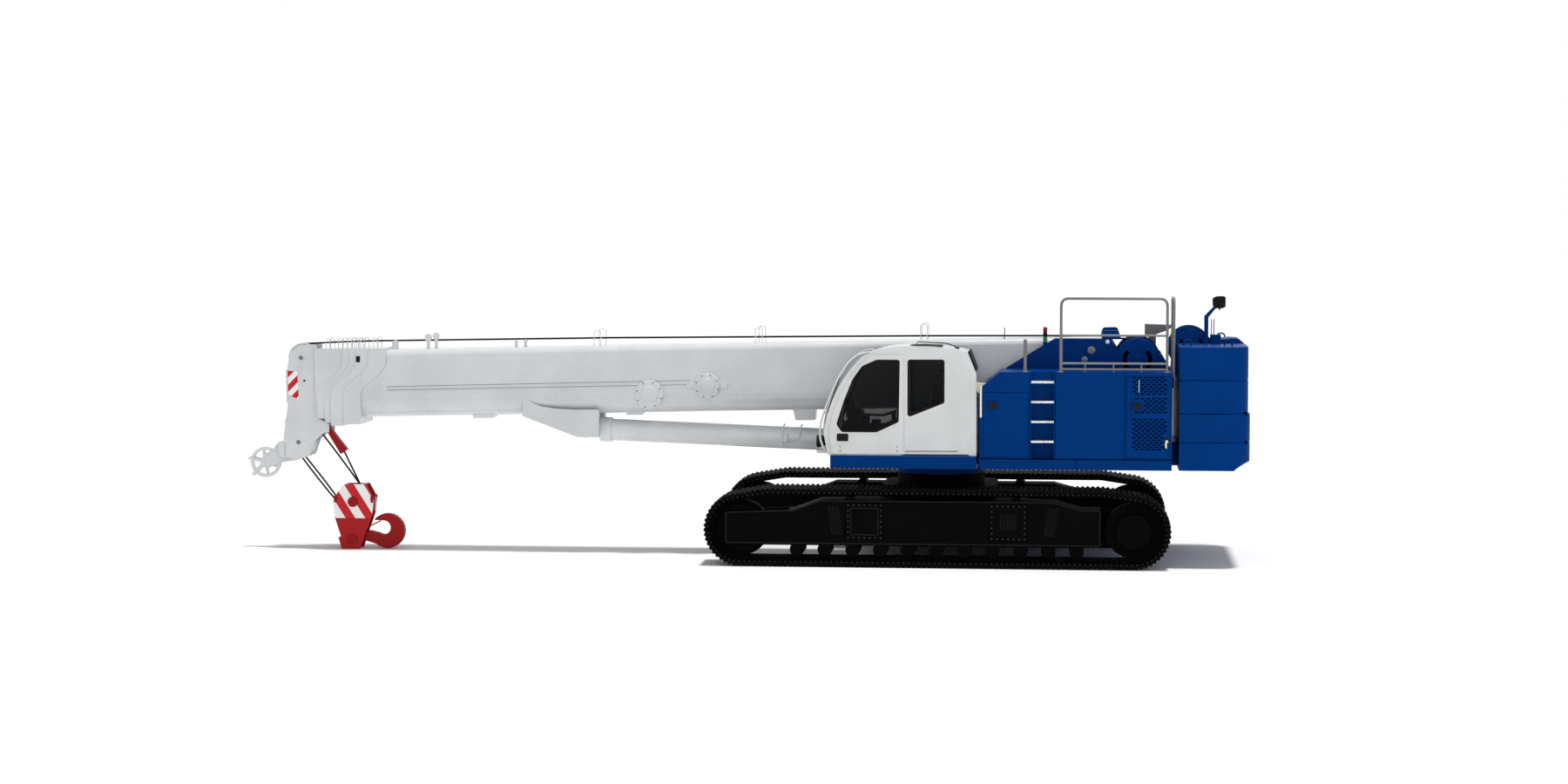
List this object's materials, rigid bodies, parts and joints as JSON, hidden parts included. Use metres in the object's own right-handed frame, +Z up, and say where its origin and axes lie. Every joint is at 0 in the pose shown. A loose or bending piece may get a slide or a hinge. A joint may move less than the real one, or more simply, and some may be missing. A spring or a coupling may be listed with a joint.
{
  "type": "telescopic crawler crane",
  "caption": "Crawler crane with slewing upperworks, cab, luffing telescopic boom, winches, ballast, sliding crawlers, hook block and hinged service doors.",
  "frame": {"origin": "on the ground under the middle of the machine's bounding box", "axes": "+X forwards along the boom, +Y to the cab's side, +Z up"},
  "size_m": [14.912, 3.5, 3.865],
  "materials": {
    "boom_paint": "light grey-white enamel",
    "cab_paint": "white enamel",
    "body_blue": "deep blue enamel",
    "tower_blue": "dark blue enamel",
    "counterweight_paint": "deep blue enamel on castings",
    "undercarriage_black": "black paint",
    "track_steel": "dark cast shoes",
    "rail_grey": "grey paint",
    "tread_steel": "bright pressed steel",
    "winch_grey": "grey paint",
    "engine_grey": "grey castings",
    "glass": "tinted safety glass",
    "seat_cloth": "woven seat cloth",
    "console_plastic": "moulded plastic",
    "fittings_black": "black moulded housings",
    "barrel_paint": "light grey enamel",
    "rod_chrome": "hard chrome",
    "sheave_grey": "light grey enamel",
    "hook_red": "dark red enamel",
    "block_red": "red enamel with white stripes"
  },
  "bodies": {
    "carbody": {"carbody": "undercarriage_black"},
    "crawler_left": {"crawler_frame_left": "undercarriage_black", "track_left": "track_steel", "crawler_wheels_left": "undercarriage_black"},
    "crawler_right": {"crawler_frame_right": "undercarriage_black", "track_right": "track_steel", "crawler_wheels_right": "undercarriage_black"},
    "upperworks": {"revolving_frame": "body_blue", "tower_plates": "tower_blue", "cab_shell": "cab_paint", "cab_glass": "glass", "cab_seat": "seat_cloth", "cab_console": "console_plastic", "housing_left": "body_blue", "housing_right": "body_blue", "engine": "engine_grey", "tank": "body_blue", "counterweight_1": "counterweight_paint", "counterweight_2": "counterweight_paint", "counterweight_3": "counterweight_paint", "counterweight_4": "counterweight_paint", "winch_frame": "tower_blue", "handrails": "rail_grey", "ladder_treads": "tread_steel", "roof_fittings": "fittings_black"},
    "cab_door": {"cab_door": "cab_paint", "cab_door_glass": "glass"},
    "door_left_front": {"door_left_front": "body_blue"},
    "door_left_rear": {"door_left_rear": "body_blue"},
    "door_right_rear": {"door_right_rear": "body_blue"},
    "main_winch": {"main_drum": "winch_grey"},
    "second_winch": {"second_drum": "winch_grey"},
    "boom_base": {"boom_base": "boom_paint"},
    "boom_section_2": {"boom_section_2": "boom_paint"},
    "boom_section_3": {"boom_section_3": "boom_paint"},
    "boom_section_4": {"boom_section_4": "boom_paint"},
    "boom_section_5": {"boom_section_5": "boom_paint", "head_sheaves": "sheave_grey"},
    "luffing_barrel": {"luffing_barrel": "barrel_paint"},
    "luffing_rod": {"luffing_rod": "rod_chrome"},
    "rope_falls": {"wedge_socket": "hook_red"},
    "block_sheaves": {"block_sheaves": "hook_red"},
    "hook_block": {"hook_block": "block_red"},
    "hook": {"hook": "hook_red"}
  },
  "joints": [
    {"name": "crawler_left_slide", "type": "slide", "parent": "carbody", "child": "crawler_left", "axis": [0, 1, 0], "range_m": [0, 0.75]},
    {"name": "crawler_right_slide", "type": "slide", "parent": "carbody", "child": "crawler_right", "axis": [0, -1, 0], "range_m": [0, 0.75]},
    {"name": "slew", "type": "hinge", "parent": "carbody", "child": "upperworks", "pos_m": [-3.006, 0, 1.24], "axis": [0, 0, 1], "continuous": true},
    {"name": "cab_door_slide", "type": "slide", "parent": "upperworks", "child": "cab_door", "axis": [-1, 0, 0], "range_m": [0, 0.85]},
    {"name": "left_front_door_hinge", "type": "hinge", "parent": "upperworks", "child": "door_left_front", "pos_m": [-4.309, 1.5083, 2], "axis": [0, 0, 1], "range_deg": [0, 100]},
    {"name": "left_rear_door_hinge", "type": "hinge", "parent": "upperworks", "child": "door_left_rear", "pos_m": [-6.319, 1.5083, 2], "axis": [0, 0, 1], "range_deg": [0, 100]},
    {"name": "right_rear_door_hinge", "type": "hinge", "parent": "upperworks", "child": "door_right_rear", "pos_m": [-6.319, -1.5083, 2], "axis": [0, 0, -1], "range_deg": [0, 100]},
    {"name": "main_winch_turn", "type": "hinge", "parent": "upperworks", "child": "main_winch", "pos_m": [-5.886, 0, 2.91], "axis": [0, 1, 0], "continuous": true},
    {"name": "second_winch_turn", "type": "hinge", "parent": "upperworks", "child": "second_winch", "pos_m": [-6.636, 0, 3.09], "axis": [0, 1, 0], "continuous": true},
    {"name": "boom_luff", "type": "hinge", "parent": "upperworks", "child": "boom_base", "pos_m": [-5.206, 0, 3.067], "axis": [0, -1, 0], "range_deg": [0, 81.3]},
    {"name": "telescope_2", "type": "slide", "parent": "boom_base", "child": "boom_section_2", "axis": [0.9997, 0, -0.0227], "range_m": [0, 8]},
    {"name": "telescope_3", "type": "slide", "parent": "boom_section_2", "child": "boom_section_3", "axis": [0.9997, 0, -0.0227], "range_m": [0, 8]},
    {"name": "telescope_4", "type": "slide", "parent": "boom_section_3", "child": "boom_section_4", "axis": [0.9997, 0, -0.0227], "range_m": [0, 8]},
    {"name": "telescope_5", "type": "slide", "parent": "boom_section_4", "child": "boom_section_5", "axis": [0.9997, 0, -0.0227], "range_m": [0, 8]},
    {"name": "cylinder_swing", "type": "hinge", "parent": "upperworks", "child": "luffing_barrel", "pos_m": [-2.706, 0, 1.642], "axis": [0, -1, 0], "range_deg": [0, 88.79]},
    {"name": "cylinder_stroke", "type": "slide", "parent": "luffing_barrel", "child": "luffing_rod", "axis": [0.9993, 0, 0.038], "range_m": [0, 3.65]},
    {"name": "falls_swing", "type": "hinge", "parent": "boom_section_5", "child": "rope_falls", "pos_m": [6.229, 0, 1.81], "axis": [0, -1, 0], "range_deg": [-39.1, 42.2]},
    {"name": "hoist", "type": "slide", "parent": "rope_falls", "child": "block_sheaves", "axis": [-0.6717, 0, -0.7408], "range_m": [0, 12]},
    {"name": "block_tilt", "type": "hinge", "parent": "block_sheaves", "child": "hook_block", "pos_m": [5.832, 0, 0.707], "axis": [0, 1, 0], "range_deg": [0, 42.2]},
    {"name": "hook_swing", "type": "hinge", "parent": "hook_block", "child": "hook", "pos_m": [5.844, 0, 0.143], "axis": [0, -1, 0], "range_deg": [0, 103]}
  ],
  "couplings": [
    {"joint": "telescope_3", "follows": "telescope_2", "ratio": 1},
    {"joint": "telescope_4", "follows": "telescope_2", "ratio": 1},
    {"joint": "telescope_5", "follows": "telescope_2", "ratio": 1},
    {"joint": "cylinder_swing", "follows": "boom_luff", "ratio": 1.092},
    {"joint": "cylinder_stroke", "follows": "boom_luff", "m_per_rad": 2.572}
  ]
}
